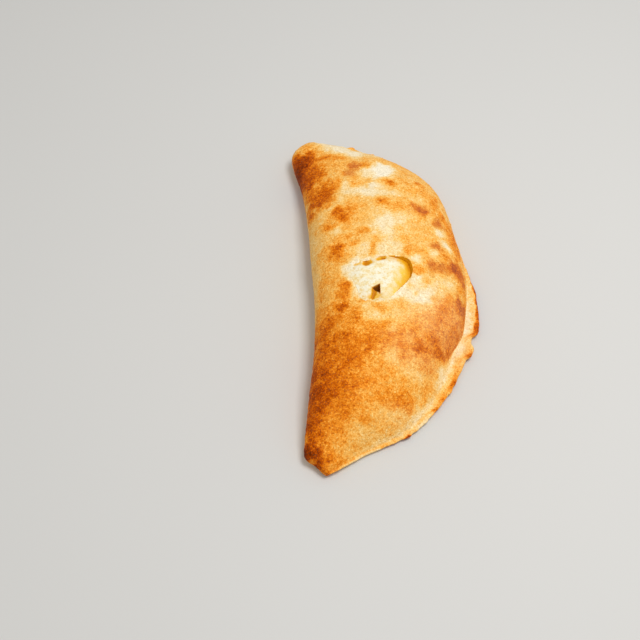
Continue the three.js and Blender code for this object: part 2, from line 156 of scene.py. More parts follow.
TOAST_PATCHES = [
    (-50, 89, 12, 22, 0.84), (-57, 92, 9, 18, 1.02), (-44, 86, 8, 8, 0.78), (-46, 115, 9, 4, 0.48),
    (-33, 100, 12, 4.5, 0.60), (-34, 90, 7, 5, 0.55), (-38, 64, 9, 13, 0.72), (-36, 66, 5, 6, 0.84),
    (-40, 56, 5, 6, 0.84), (-45, 56, 4, 8, 0.80), (-45.5, 66, 4.5, 6, 0.78), (-47, 76, 4, 5, 0.84),
    (-32, 72, 6, 5, 0.60), (-26, 41, 9, 7.5, 0.62), (-29.5, 43.5, 4.8, 4, 0.76),
    (-36, 49.5, 3.6, 2.6, 0.66), (-25, 36, 4.5, 4.5, 0.80), (-20, 46, 6, 4, 0.60),
    (-35, 31, 7, 4, 0.58), (-35, 31, 3, 3, 0.66), (-15, 33, 9, 7, 0.40), (-13.5, 22.5, 4.5, 4.5, 0.62),
    (-31, 9, 11, 9, 0.58), (-29, 10, 5, 6, 0.84), (-25, 20, 7, 4, 0.56), (-19, 14, 4, 3, 0.56),
    (-33, -2, 6, 5, 0.44), (-5, 15.5, 4, 4.5, 0.50), (-7.5, 12, 2.6, 3.2, 0.72),
    (-7.7, 5, 2.6, 3.4, 0.54), (-7.8, 9, 1.8, 6, 0.50), (-17, 70, 6, 3, 0.44),
    (13, 15.5, 3.4, 2.4, 0.58), (15, 8, 2.8, 3, 0.60), (19, 14, 2.6, 2.4, 0.52),
    (24.5, 10, 4, 2.2, 0.50), (10, 25.5, 2.4, 1.8, 0.42), (-12.5, 47.5, 3, 2.6, 0.48),
    (0.5, 50, 8.5, 5, 0.54), (-2, 50, 3.2, 3, 0.74), (10, 46, 9, 8, 0.48), (4, 71, 7, 5.5, 0.50),
    (6.5, 71, 3.5, 2.8, 0.72), (12, 80, 8, 9, 0.44), (25, 73, 3.5, 4, 0.70), (17, 65, 8, 8, 0.44),
    (27, 66, 4.5, 6, 0.56), (34, 57, 3.5, 11, 0.64), (39, 47, 3, 5, 0.66), (44, 34, 4, 16, 0.64),
    (47, 22, 3.5, 12, 0.66), (9, 27, 4.5, 4, 0.44), (12, 18, 7, 5, 0.50), (16, 9, 4.5, 4.5, 0.52),
    (22, 24, 8, 6, 0.42), (-32, -10, 4, 2.6, 0.47), (-29.5, -14.5, 2.6, 2.4, 0.50),
    (-26, -22, 5.5, 6.5, 0.68), (-25.5, -18, 4, 3, 0.78), (-26, -25, 5, 4, 0.66),
    (-27, -33, 5, 5, 0.84), (-21, -39, 7, 6, 0.60), (-18, -43, 3, 3.4, 0.76),
    (-15.5, -31.5, 4, 2.2, 0.58), (-5, -31.5, 4.5, 2.4, 0.52), (8, -31, 6, 3, 0.42),
    (24, -14, 4, 3, 0.42), (17, -24, 2.4, 2, 0.32), (14, -19, 2, 2, 0.30), (30, -26, 4, 2.6, 0.48),
    (37, -26, 4.5, 4, 0.53), (38, 10, 5, 7, 0.55), (48, -8, 3.4, 10, 0.57), (49, -34, 4, 12, 0.68),
    (41, -33, 8, 6, 0.57), (32, -32, 4.5, 3.2, 0.48), (34, -32, 4.5, 4, 0.72),
    (18, -59, 5.5, 5.5, 0.80), (9, -65, 4.5, 6.5, 0.58), (9, -58, 5, 4, 0.62), (37, -49, 8, 7.4, 0.65),
    (36, -55, 3.4, 4, 0.66), (23, -66, 5.5, 5, 0.58), (-37, -36, 4, 6, 0.58),
    (-37, -45, 5.5, 5.5, 0.78), (-39, -73, 6, 9, 0.80), (-31, -56, 5.5, 4.5, 0.72),
    (-22, -56, 5.5, 4.5, 0.74), (-11, -62, 4, 3.4, 0.78), (-37, -60, 5.5, 4.5, 0.76),
    (-20, -68, 7, 7, 0.74), (-28, -66, 6, 5, 0.72), (0, -76, 5, 4, 0.56), (-36, -86, 8, 10, 0.85),
    (-43, -86, 5, 9, 0.88), (-44, -75, 3.5, 6, 0.86), (-28, -88, 8, 6, 0.77), (-18, -84, 6, 6, 0.72),
    (7, -90, 7.5, 5, 0.60), (8, -89, 3.6, 3.2, 0.76), (-4, -89, 6, 5, 0.58), (21, -83, 2.6, 2.2, 0.54),
    (25, -78, 3, 3, 0.52), (-15, -101, 6.5, 4.5, 0.56), (-13, -102, 2.4, 2.2, 0.66),
    (-44.5, -101, 7, 17, 0.84), (-45, -106, 4.5, 4, 0.86), (-48, -119, 5, 5.5, 1.12),
    (-41.5, -127, 3, 4, 0.98), (-36, -128, 5, 3.6, 0.74), (-32.5, -127, 3, 2.6, 0.56),
    (-29, -122, 5, 4, 0.60), (-30, -99, 8, 6, 0.70), (-30, -116, 6, 4, 0.44), (-35, -106, 6, 4.5, 0.66),
    (-21, -92, 6, 4, 0.66), (-38, -96, 5, 5, 0.84), (-43.5, -121, 5.5, 3.6, 0.92),
    (27, -54, 6.5, 8, 0.68), (30, -57, 4, 4.5, 0.78), (27, -62, 3.2, 3.2, 0.54), (-6, -58, 7, 4, 0.64),
    (-13, -57, 5, 3.4, 0.70), (-50, 103.5, 6.5, 6.8, 0.91), (-39, 40, 4.5, 3.5, 0.36),
    (-44.5, 47, 3.5, 6, 0.74), (-6, -35, 5, 4, 0.54), (-1, -36, 6, 3.6, 0.44), (19, -5, 4, 4, 0.52),
    (25, -12, 4, 3, 0.43), (-6, -84, 6, 4, 0.54), (20, -6, 4, 4, 0.55), (-12, 89, 5.5, 4.8, 0.66),
    (-31, 57, 4, 4, 0.63), (-24, 28, 5, 4, 0.54), (-6, -89, 10, 6, 0.59), (11, -87.5, 4, 3, 0.58),
]
# Where the browning turns a ruddy, nearly purple brown.
RUDDY_PATCHES = [
    (-18, 89, 5.5, 6, 0.64), (-20.5, 82, 5, 5, 0.60), (24, 47, 8, 5, 0.64), (25.5, 46, 4, 3.6, 0.74),
    (19.5, 50, 3.4, 3, 0.76), (35, 39, 4, 6, 0.70), (33, 16, 5, 4.5, 0.74), (29, -1, 5, 6, 0.64),
    (34, 0, 7, 4.5, 0.66), (43.5, 4, 5.5, 7, 0.80), (44, 3, 3, 4, 0.92), (47, -1, 3.6, 7, 0.74),
    (46, -22, 5, 7, 0.80),
]
# Where a painted sheen, the light's reflection on the slopes that face it, makes the brown a little
# milky.
SHEEN_PATCHES = [(32, -38, 24, 22, 1), (14, -60, 20, 16, 0.7), (12, -98, 18, 9, 0.3)]

# How browned the dough is before its patches, and beside the vent.
PLAIN_TOAST = 0.42
CREAM_TOAST = 0.04
# How strongly patches cover what they lie on; a patch paler than PALE_BELOW counts as pale.
PATCH_STRENGTH = 0.76
PALE_STRENGTH = 0.95
PALE_BELOW = 0.3
# How far a patch's outline wanders, in millimetres, and how frayed it is.
PATCH_WANDER = 1.8
PATCH_FRAY = 0.5

# How browned the bare lip is, and its rim, from the tip (share 0) to the nose (share 1), with painted
# shadow on the rim near the tip.
LIP_TOAST = [(0, 0.5), (0.03, 0.32), (0.06, 0.32), (0.1, 0.17), (0.14, 0.17), (0.18, 0.11),
             (0.21, 0.13), (0.23, 0.18), (0.25, 0.28), (0.275, 0.17), (0.295, 0.21), (0.325, 0.19),
             (0.35, 0.14), (0.37, 0.14), (0.4, 0.08), (0.5, 0.10), (0.58, 0.34), (0.75, 0.44),
             (0.8, 0.36), (0.84, 0.12), (0.95, 0.08), (1, 0.4)]
# From share 0.108 to 0.148 the rim's dark values are painted shadow under the lifted lip.
RIM_TOAST_AND_SHADOW = [(0, 0.72), (0.02, 0.50), (0.05, 0.24), (0.1, 0.22), (0.108, 0.62), (0.12, 0.74),
             (0.14, 0.84), (0.148, 0.92), (0.156, 0.30), (0.163, 0.36), (0.175, 0.16), (0.195, 0.22),
             (0.208, 0.40), (0.216, 0.74), (0.223, 0.52), (0.23, 0.46), (0.24, 0.66), (0.252, 0.46),
             (0.262, 0.52), (0.276, 0.72), (0.29, 0.56), (0.315, 0.40), (0.328, 0.46), (0.335, 0.78),
             (0.343, 0.52), (0.356, 0.30), (0.37, 0.30), (0.38, 0.68), (0.39, 0.82), (0.41, 0.76),
             (0.45, 0.80), (0.51, 0.74), (0.54, 0.50), (0.6, 0.30), (0.75, 0.50), (0.8, 0.40),
             (0.83, 0.22), (0.842, 0.56), (0.85, 0.22), (0.865, 0.44), (0.88, 0.18), (0.908, 0.50),
             (0.918, 0.14), (0.97, 0.3), (1, 0.5)]
# How far in from the rim its browning reaches, in millimetres; below 0 it only reaches underneath,
# where near the tip it is painted shadow.
RIM_BAND = [(0, 1.6), (0.085, 1.4), (0.105, -1.2), (0.136, -1.2), (0.144, 1), (0.16, 1.6), (0.36, 1.6),
            (0.385, 1.9), (0.405, 1.2), (0.425, 0.2), (0.45, -0.3), (0.53, -0.3), (0.57, 1), (1, 1.6)]
# How gradually the browned dome passes into the bare lip, and how far the crease between them is
# rounded, in millimetres.
LIP_SOFTNESS = [(0, 2), (0.1, 5), (0.26, 6), (0.31, 4.5), (0.345, 2.2), (0.38, 1.1), (0.5, 0.8),
                (0.65, 1), (0.8, 2), (1, 2)]
CREASE_SOFTNESS = [(0, 2), (0.06, 4), (0.27, 7), (0.3, 5), (0.325, 1), (0.5, 0.5), (0.75, 0.6),
                   (0.84, 2), (1, 2)]
# How many steps of a section, from the crease up the dome, that rounding may change.
CREASE_REACH = 50
# How far past the rim, which is underneath, the lip's own browning fades out, in millimetres.
LIP_FADE = (-12, -5)
# The underside, and how far patches are drawn out of the turn towards it, in millimetres.
BASE_TOAST = 0.36
UNDER_PUSH = 9


# ---------------------------------------------------------------- smooth lines

def smooth_line(points, closed=False, steps=40):
    """A centripetal Catmull-Rom line, as dense points and each one's share of the line's length."""
    points = np.array(points, float)
    if closed:
        held = np.vstack([points[-1], points, points[0], points[1]])
    else:
        held = np.vstack([2 * points[0] - points[1], points, 2 * points[-1] - points[-2]])
    stretches = []
    for a, b, c, d in zip(held, held[1:], held[2:], held[3:]):
        knots = np.cumsum([0] + [math.sqrt(np.linalg.norm(q - p)) for p, q in ((a, b), (b, c), (c, d))])
        t = np.linspace(knots[1], knots[2], steps, endpoint=False)[:, None]

        def between(p, q, first, last):
            return p + (q - p) * (t - knots[first]) / (knots[last] - knots[first])

        near = between(between(a, b, 0, 1), between(b, c, 1, 2), 0, 2)
        far = between(between(b, c, 1, 2), between(c, d, 2, 3), 1, 3)
        stretches.append(between(near, far, 1, 2))
    line = np.vstack(stretches + [held[-2]])
    run = np.concatenate([[0], np.cumsum(np.linalg.norm(np.diff(line, axis=0), axis=1))])
    return line, run / run[-1]


def along(line, share):
    """The places at those shares of a smooth line."""
    points, shares = line
    return np.stack([np.interp(share, shares, points[:, i]) for i in range(2)], -1)


def flat(plan):
    """Places in plan as points at height 0."""
    return np.column_stack([plan, np.zeros(len(plan))])


def through(stations, share):
    """A smooth value through stations of (share, value) that never overshoots them."""
    at, value = np.array(stations, float).T
    slope = np.diff(value) / np.diff(at)
    before, after = slope[:-1], slope[1:]
    total = np.where(before + after == 0, 1, before + after)
    middle = np.where(before * after <= 0, 0, 2 * before * after / total)
    tangent = np.concatenate([slope[:1], middle, slope[-1:]])
    k = np.clip(np.searchsorted(at, share) - 1, 0, len(at) - 2)
    span = at[k + 1] - at[k]
    s = (share - at[k]) / span
    bend = tangent[k] * s * (1 - s) ** 2 - tangent[k + 1] * s ** 2 * (1 - s)
    return value[k] + (value[k + 1] - value[k]) * s * s * (3 - 2 * s) + span * bend


def ease(low, high, value):
    """0 below low, 1 above high, and smooth between them."""
    t = np.clip((value - low) / (high - low), 0, 1)
    return t * t * (3 - 2 * t)


def quarter(turn, power):
    """A quarter of a superellipse from its side (turn 0) to its crown (turn 1), as inward and up."""
    angle = turn * math.pi / 2
    return 1 - np.cos(angle) ** (2 / power), np.sin(angle) ** (2 / power)


# ---------------------------------------------------------------- seeded unevenness

def scatter(cells, seed):
    """A fixed random number from 0 to 1 for each whole-numbered cell."""
    x, y, z = (cells[..., i].astype(np.int64) for i in range(3))
    h = (x * 73856093) ^ (y * 19349663) ^ (z * 83492791) ^ (seed * 2654435761)
    h = (h ^ (h >> 13)) * 1274126177 & 0xFFFFFFFF
    h = (h ^ (h >> 16)) * 2246822519 & 0xFFFFFFFF
    return ((h ^ (h >> 15)) & 0xFFFFFF) / 0x1000000


def rolling(points, size, seed):
    """Smooth noise from -1 to 1 whose waves are about size wide."""
    p = points / size
    cell = np.floor(p)
    f = p - cell
    w = f * f * f * (f * (f * 6 - 15) + 10)
    total = 0
    for corner in np.ndindex(2, 2, 2):
        at = cell + corner
        slope = np.stack([scatter(at, seed + k) for k in range(3)], -1) * 2 - 1
        reach = np.where(np.array(corner), w, 1 - w).prod(-1)
        total = total + reach * ((f - corner) * slope).sum(-1)
    return total * 1.6


def rough(points, size, seed, octaves=3):
    """Rolling noise with finer and weaker noise laid over it."""
    return sum(rolling(points, size / 2 ** k, seed + 10 * k) / 2 ** k for k in range(octaves)) / 1.5


def pimples(points, spacing, radius, seed, share=1.0):
    """Domes from 0 to 1, one in each cell of that spacing or in a share of the cells."""
    cell = np.floor(points / spacing)
    highest = np.zeros(len(points))
    for step in np.ndindex(3, 3, 3):
        at = cell + step - 1
        centre = (at + np.stack([scatter(at, seed + k) for k in range(3)], -1)) * spacing
        size = radius * (0.6 + 0.8 * scatter(at, seed + 3))
        away = ((points - centre) ** 2).sum(-1) / size ** 2
        dome = np.clip(1 - away, 0, 1) ** 1.5 * (0.4 + 0.6 * scatter(at, seed + 4))
        highest = np.maximum(highest, dome * (scatter(at, seed + 5) < share))
    return highest


# ---------------------------------------------------------------- one section after another

ROWS = 372
CURVE_STEPS = 400
FOLD_STEPS = 68
SEAM_STEPS = 114
LIP_STEPS = 12
RIM_STEPS = 10
UNDER_STEPS = 5
BASE_STEPS = 24
FOOT_STEPS = 16
# The lip's rim is rounded over this much of its thickness, or of its width where that is less.
RIM_ROUNDING = (0.48, 0.45)

fold_line = smooth_line(FOLD_EDGE)
seam_line = smooth_line(SEAM_EDGE)


def row_shares(count, start, end):
    """Shares of the way between two limits, closer together towards both."""
    even = np.arange(1, count) / count
    eased = 0.5 - 0.5 * np.cos(math.pi * even)
    return start + (end - start) * (even + eased) / 2


def sections_at(share):
    """Where each section lies, and its sizes, as one column for each value."""
    fold, seam = along(fold_line, share), along(seam_line, share)
    width = np.linalg.norm(seam - fold, axis=1)
    across = (seam - fold) / width[:, None]
    step = 0.001
    run = along(seam_line, np.minimum(share + step, 1)) - along(seam_line, np.maximum(share - step, 0))
    run /= np.linalg.norm(run, axis=1)[:, None]
    # A section that meets the rim at a slant, as near the ends, needs a wider lip.
    slant = np.maximum(np.abs(across[:, 0] * run[:, 1] - across[:, 1] * run[:, 0]), 0.4)
    height = through(RIDGE_HEIGHT, share)
    columns = {
        "width": width,
        "height": height,
        "ridge": RIDGE_ACROSS * width,
        "lip": np.minimum(through(LIP_WIDTH, share) / slant, LIP_OF_WIDTH * width),
        "lobe": through(LIP_LOBES, share),
        "thick": np.minimum(through(LIP_THICKNESS, share), THICKNESS_OF_HEIGHT * height),
        "belly": np.minimum(FOLD_BELLY, BELLY_OF_HEIGHT * height),
        "foot": np.minimum(FOLD_FOOT, FOOT_OF_WIDTH * width),
        "lift": TIP_LIFT * (1 - ease(0, TIP_LIFT_END, share)),
        "square": through(SEAM_SQUARENESS, share),
    }
    sizes = {name: value[:, None] for name, value in columns.items()}
    return fold, across, sizes


def evenly(out, up, count):
    """Resamples each row's curve to count steps of even length, without its last point."""
    made = np.zeros((2, len(out), count))
    for row, (a, z) in enumerate(zip(out, up)):
        run = np.concatenate([[0], np.cumsum(np.hypot(np.diff(a), np.diff(z)))])
        wanted = np.linspace(0, run[-1], count, endpoint=False)
        made[0, row] = np.interp(wanted, run, a)
        made[1, row] = np.interp(wanted, run, z)
    return made


def mixed(a, b, t):
    """a where t is 0, b where it is 1, and evenly between them."""
    return a + (b - a) * t


def skin_section(s, ragged):
    """The outer outline of every section as (out, up): fold, dome, lip, rim, base and foot."""
    turn = np.linspace(0, 1, CURVE_STEPS)[None, :]
    rise_in, rise_up = quarter(turn, FOLD_SQUARENESS)
    fold = evenly(s["ridge"] * rise_in, mixed(s["belly"], s["height"], rise_up), FOLD_STEPS)
    fall_in, fall_up = quarter(turn[:, ::-1], s["square"])
    crease = s["width"] - s["lip"]
    fall = mixed(s["thick"], s["height"], fall_up)
    dome = evenly(mixed(crease, s["ridge"], fall_in), fall, SEAM_STEPS)

    lift = LIP_LIFT * s["lip"] / (s["lip"] + 2)
    rim = s["width"] + s["lobe"] + ragged
    of_thickness, of_width = RIM_ROUNDING
    round_reach = np.minimum(of_thickness * s["thick"], of_width * (rim - crease))
    middle, half = (s["thick"] + lift) / 2, (s["thick"] - lift) / 2
    t = np.arange(LIP_STEPS) / LIP_STEPS
    lip = np.stack([mixed(crease, rim - round_reach, t), s["thick"] + 0 * crease * t])
    angle = math.pi * (0.5 - np.arange(RIM_STEPS) / RIM_STEPS)
    edge = np.stack([rim - round_reach * (1 - np.cos(angle)), middle + half * np.sin(angle)])
    # The lip leaves the surface that it lies on a little inside the crease.
    t = np.arange(UNDER_STEPS) / UNDER_STEPS
    base_end = s["width"] - 1.2 * s["lip"] - 0.5
    under = np.stack([mixed(rim - round_reach, base_end, t), mixed(lift, 0, t)])
    t = np.arange(BASE_STEPS) / BASE_STEPS
    base = np.stack([mixed(base_end, s["foot"], t), 0 * base_end * t])
    angle = np.arange(FOOT_STEPS)[None, :] / FOOT_STEPS * math.pi / 2
    foot = np.stack([s["foot"] * (1 - np.sin(angle)), s["belly"] * (1 - np.cos(angle))])
    return np.concatenate([fold, dome, lip, edge, under, base, foot], axis=2)


def fill_crease(section, share):
    """Rounds the hollow between the dome and the lip, more where they have baked into one."""
    seam_end = FOLD_STEPS + SEAM_STEPS
    columns = slice(seam_end - CREASE_REACH, seam_end + LIP_STEPS + 1)
    softness = through(CREASE_SOFTNESS, share)
    for row, softest in enumerate(softness):
        line = section[:, row, columns]
        run = np.concatenate([[0], np.cumsum(np.hypot(*np.diff(line, axis=1)))])
        reach = np.minimum(softest, 0.6 * np.minimum(run, run[-1] - run)) + 0.001
        weight = np.exp(-0.5 * ((run - run[:, None]) / reach[:, None]) ** 2) * np.gradient(run)
        section[:, row, columns] = line @ weight.T / weight.sum(axis=1)
    return section


def crease_distance(section):
    """How far out along the section each point lies from the crease."""
    step = np.hypot(*np.diff(section, axis=2, prepend=section[:, :, :1]))
    run = np.cumsum(step, axis=1)
    return run - run[:, FOLD_STEPS + SEAM_STEPS][:, None]


def inner_section(s, wall, steps=30):
    """The section drawn in by the crust's wall, for the filling and the space it lies in."""
    crease = s["width"] - s["lip"] - FILLING_INSET * wall
    top = s["height"] - wall
    turn = np.arange(steps)[None, :] / steps
    rise_in, rise_up = quarter(turn, FOLD_SQUARENESS)
    fold = np.stack([mixed(wall, s["ridge"], rise_in), mixed(s["belly"], top, rise_up)])
    fall_in, fall_up = quarter(1 - np.arange(steps + 1)[None, :] / steps, s["square"])
    dome = np.stack([mixed(crease, s["ridge"], fall_in), mixed(wall + FILLING_EDGE, top, fall_up)])
    t = np.arange(1, 6)[None, :] / 5
    base = np.stack([mixed(crease, s["foot"] + wall, t), wall + 0 * crease * t])
    foot = np.stack([wall + 0.3 * s["foot"], mixed(wall, s["belly"], 0.3)])
    return np.concatenate([fold, dome, base, foot], axis=2)


def swell_at(x, y):
    """How far the swellings raise the dome at each place, or the hollows lower it."""
    total = 0
    for cx, cy, radius, height in SWELLS:
        total = total + height * np.exp(-1.5 * ((x - cx) ** 2 + (y - cy) ** 2) / radius ** 2)
    return total


def place(fold, across, section):
    """Points in space of sections that start at the fold's places and run across to the seam."""
    out, up = section
    plan = fold[:, None, :] + across[:, None, :] * out[..., None]
    return np.concatenate([plan, up[..., None]], axis=-1)


def smooth_skin():
    """The crust's outside before the fine relief, as rows of points, and each row's share."""
    share = row_shares(ROWS, 0, 1)
    fold, across, sizes = sections_at(share)
    seam = flat(along(seam_line, share))
    wide = through(RAGGEDNESS, share) * (0.4 + 0.6 * np.minimum(sizes["lip"][:, 0] / 4, 1))
    ragged = (wide * (0.7 * rolling(seam, 4.5, 5) + 0.35 * rolling(seam, 1.9, 6)))[:, None]
    section = skin_section(sizes, ragged)
    from_crease = crease_distance(section)
    rim = FOLD_STEPS + SEAM_STEPS + LIP_STEPS
    from_rim = from_crease[:, rim, None] - from_crease
    points = place(fold, across, fill_crease(section, share))
    on_top = ease(sizes["belly"], sizes["belly"] + SWELL_FADE, points[..., 2])
    points[..., 2] += on_top * swell_at(points[..., 0], points[..., 1]) + sizes["lift"]
    return points, share, from_crease, from_rim


def outward(grid):
    """The direction square to the skin at each of its points."""
    down_rows = np.gradient(grid, axis=0)
    round_section = np.roll(grid, -1, axis=1) - np.roll(grid, 1, axis=1)
    normal = np.cross(round_section, down_rows)
    length = np.linalg.norm(normal, axis=2, keepdims=True)
    return normal / np.maximum(length, 1e-9)


# ---------------------------------------------------------------- toasting and relief of the skin

def blotch(points, patch, warp, fray):
    """How far a patch covers each point, from 0 to 1; the outline of a large one frays less."""
    x, y, reach_x, reach_y, _ = patch
    away = np.hypot((points[:, 0] + warp[0] - x) / reach_x, (points[:, 1] + warp[1] - y) / reach_y)
    return ease(1.35, 0.3, away + fray * math.sqrt(9 / max(9, reach_x, reach_y)))


def bake(points, normal, share, from_crease, from_rim):
    """How browned, how ruddy and how much painted sheen each point of the skin has."""
    turned_under = ease(0.1, -0.5, normal[:, 2] + 0.25 * rough(points, 9, seed=25))
    points = points + UNDER_PUSH * turned_under[:, None] * normal * (1, 1, 0)
    warp = [PATCH_WANDER * rough(points, 7, seed) for seed in (20, 30)]
    fray = PATCH_FRAY * rough(points, 5.5, seed=40, octaves=4)
    toast = np.full(len(points), PLAIN_TOAST)
    for patch in GROUNDS:
        toast = mixed(toast, patch[4], blotch(points, patch, warp, 0.5 * fray))
    toast += 0.07 * rough(points, 10, seed=50)
    for patch in PALE_PATCHES + TOAST_PATCHES:
        strength = PATCH_STRENGTH if patch[4] > PALE_BELOW else PALE_STRENGTH
        toast = mixed(toast, patch[4], strength * blotch(points, patch, warp, fray))
    ruddy = np.zeros(len(points))
    for patch in RUDDY_PATCHES:
        cover = blotch(points, patch, warp, fray)
        toast = mixed(toast, patch[4], PATCH_STRENGTH * cover)
        ruddy = np.maximum(ruddy, cover)
    unsteady = (0.05 + 0.08 * ease(0.1, 0.5, toast)) * (1 - 0.6 * ease(0.65, 0.9, toast))
    toast += unsteady * rough(points, 4.5, seed=46)

    # The bare lip, its rim and the underside each have their own browning; near the tip the rim's dark
    # underside is painted shadow.
    mottle = rough(points, 4, seed=45)
    near_rim = ease(*LIP_FADE, from_rim)
    bare = ease(-1, 0.3, from_crease / through(LIP_SOFTNESS, share) + 0.5 * mottle) * near_rim
    lip_toast = through(LIP_TOAST, share) + 0.15 * mottle + 0.20 * ease(6, 1, from_rim)
    toast = mixed(toast, lip_toast, bare)
    into_band = from_rim + 1.2 * mottle - through(RIM_BAND, share)
    rim = ease(0, -1.6, into_band) * ease(-0.5, 0.5, from_crease)
    toast = mixed(toast, through(RIM_TOAST_AND_SHADOW, share), rim * near_rim)
    ruddy *= 1 - bare
    base = ease(-0.3, -0.8, normal[:, 2]) * (1 - near_rim)
    toast = mixed(toast, BASE_TOAST + 0.1 * rough(points, 12, seed=35), base)
    # A painted sheen: a milky tint over the brown where the slopes face the light.
    sheen_cover = [patch[4] * blotch(points, patch, warp, fray) for patch in SHEEN_PATCHES]
    return toast, ruddy, np.max(sheen_cover, axis=0)


WAVE_HEIGHT = 0.45
RIPPLE_HEIGHT = 0.22
BLISTER_HEIGHT = 0.34
BUBBLE_HEIGHT = 0.6
DIMPLE_DEPTH = 0.35


def relief_of(points, toast):
    """How far the skin stands out from its smooth form; toasted dough has blistered more."""
    waves = WAVE_HEIGHT * rough(points, 20, seed=60, octaves=2)
    ripples = RIPPLE_HEIGHT * rough(points, 7, seed=70, octaves=2)
    blisters = BLISTER_HEIGHT * pimples(points, 2.6, 1.3, seed=80, share=0.8)
    bubbles = BUBBLE_HEIGHT * pimples(points, 9, 3.4, seed=90, share=0.35) * ease(0.45, 0.75, toast)
    dimples = DIMPLE_DEPTH * pimples(points, 7, 2.2, seed=100, share=0.4)
    return waves + ripples + blisters * (0.3 + 0.9 * toast) + bubbles - dimples


# ---------------------------------------------------------------- meshes

def closed_mesh(rings, first_pole, last_pole):
    """Points and faces of a closed skin over rings of points, drawn to a point at each end."""
    rows, count = rings.shape[:2]
    points = np.vstack([[first_pole], rings.reshape(-1, 3), [last_pole]])
    index = 1 + np.arange(rows * count).reshape(rows, count)
    following = np.roll(index, -1, axis=1)
    walls = np.stack([index[:-1], following[:-1], following[1:], index[1:]], -1).reshape(-1, 4)
    first = np.stack([following[0], index[0], np.zeros(count, int)], -1)
    last = np.stack([index[-1], following[-1], np.full(count, len(points) - 1)], -1)
    return points, walls.tolist() + first.tolist() + last.tolist()


def make_piece(name, points, faces, shift):
    """A Blender object from points in the calzone's own millimetres."""
    mesh = bpy.data.meshes.new(name)
    mesh.from_pydata(((points + shift) * MM).tolist(), [], faces)
    mesh.update()
    piece = bpy.data.objects.new(name, mesh)
    bpy.context.scene.collection.objects.link(piece)
    return piece


def combine(piece, tool, operation):
    """Cuts or joins piece with tool, which is used up."""
    change = piece.modifiers.new("combine", "BOOLEAN")
    change.solver = "MANIFOLD"
    change.operation = operation
    change.object = tool
    graph = bpy.context.evaluated_depsgraph_get()
    mesh = bpy.data.meshes.new_from_object(piece.evaluated_get(graph))
    piece.modifiers.clear()
    old, piece.data = piece.data, mesh
    bpy.data.meshes.remove(old)
    bpy.data.objects.remove(tool)


def write_attribute(mesh, name, values):
    """Stores a value for each of a mesh's points, for its finish to read."""
    attribute = mesh.attributes.get(name) or mesh.attributes.new(name, "FLOAT", "POINT")
    attribute.data.foreach_set("value", np.asarray(values, np.float32))


def read_attribute(mesh, name):
    values = np.zeros(len(mesh.vertices), np.float32)
    mesh.attributes[name].data.foreach_get("value", values)
    return values.astype(float)


def read_points(mesh, shift):
    """A mesh's points, back in the calzone's own millimetres."""
    values = np.zeros(len(mesh.vertices) * 3, np.float32)
    mesh.vertices.foreach_get("co", values)
    return values.reshape(-1, 3).astype(float) / MM - shift


def smooth_shading(piece, sharp_above):
    piece.data.shade_smooth()
    piece.data.set_sharp_from_angle(angle=math.radians(sharp_above))


# ---------------------------------------------------------------- the vent

VENT_POINTS = 200
# How far the cutting block stands above the dome.
CLEAR_ABOVE = 8
# How far from the vent's centre its edge is looked for, and where the cheese's colours fade in.
VENT_REACH = 34
CHEESE_FADE = (30, 24)
# How far in and out the torn edge wanders, and how far the crust is rounded down there.
VENT_RAGS = 0.35
VENT_ROUNDING = 0.55
# How far the torn wall slopes in below the vent's edge, as (share round the edge, width).
WALL_SLOPE = [(0, 0.4), (0.1, 0.5), (0.2, 0.9), (0.25, 1.4), (0.28, 1.6), (0.34, 2.1), (0.42, 1.9),
              (0.48, 1), (0.56, 0.4), (0.85, 0.3), (1, 0.4)]
# How far melted cheese has run out over the crust.
OVERRUN = [(0, 2.4), (0.08, 1.4), (0.12, 0.5), (0.52, 0.2), (0.6, 1.6), (0.68, 2.2), (0.76, 2.2),
           (0.82, 0.6), (0.9, 0.8), (0.95, 2.6), (1, 2.4)]
# How wide a ring of bare dough is left round the vent; there is none where this is below 0.
VENT_RING = [(0, 4.5), (0.08, 2.5), (0.14, 0.5), (0.24, -1), (0.28, -2), (0.45, -2), (0.5, 2), (0.6, 5),
             (0.7, 2), (0.77, -1), (0.88, -1), (0.94, 4), (1, 4.5)]
# How golden the cheese is along its rim.
RIM_GILDING = [(0, 0.3), (0.1, 0.2), (0.16, 0.1), (0.5, 0), (0.6, 0.6), (0.68, 1), (0.76, 0.8),
               (0.82, 0.2), (0.92, 0.2), (1, 0.3)]
# How much of its amber the wall gives to the cheese beside it.
WALL_AMBER = [(0, 0), (0.14, 0.2), (0.24, 0.3), (0.3, 0.7), (0.36, 0.9), (0.42, 0.6), (0.5, 0.3),
              (0.56, 0.1), (0.62, 0), (1, 0)]
# How far the torn wall has sloped in at each height over the vent's edge, as (height, share).
WALL_LEVELS = [(CLEAR_ABOVE, -0.3), (0.3, 0), (-0.5, 0.12), (-1.2, 0.36), (-2.2, 0.7), (-3.4, 0.92),
               (-5, 1)]

vent_line = smooth_line(VENT_EDGE, closed=True)


def vent_outline():
    """The vent's edge and the direction out of it at each of its points."""
    share = np.arange(VENT_POINTS) / VENT_POINTS
    edge = along(vent_line, share)
    run = np.roll(edge, -1, axis=0) - np.roll(edge, 1, axis=0)
    run /= np.linalg.norm(run, axis=1)[:, None]
    out = np.stack([-run[:, 1], run[:, 0]], -1)
    edge = edge + out * (VENT_RAGS * rough(flat(edge), 3.2, seed=110))[:, None]
    return share, edge, out


FAR_AWAY = 99.0


def from_vent_centre(points):
    """How far each point lies in plan from the vent's centre."""
    return np.hypot(*(points[:, :2] - VENT_CENTRE).T)


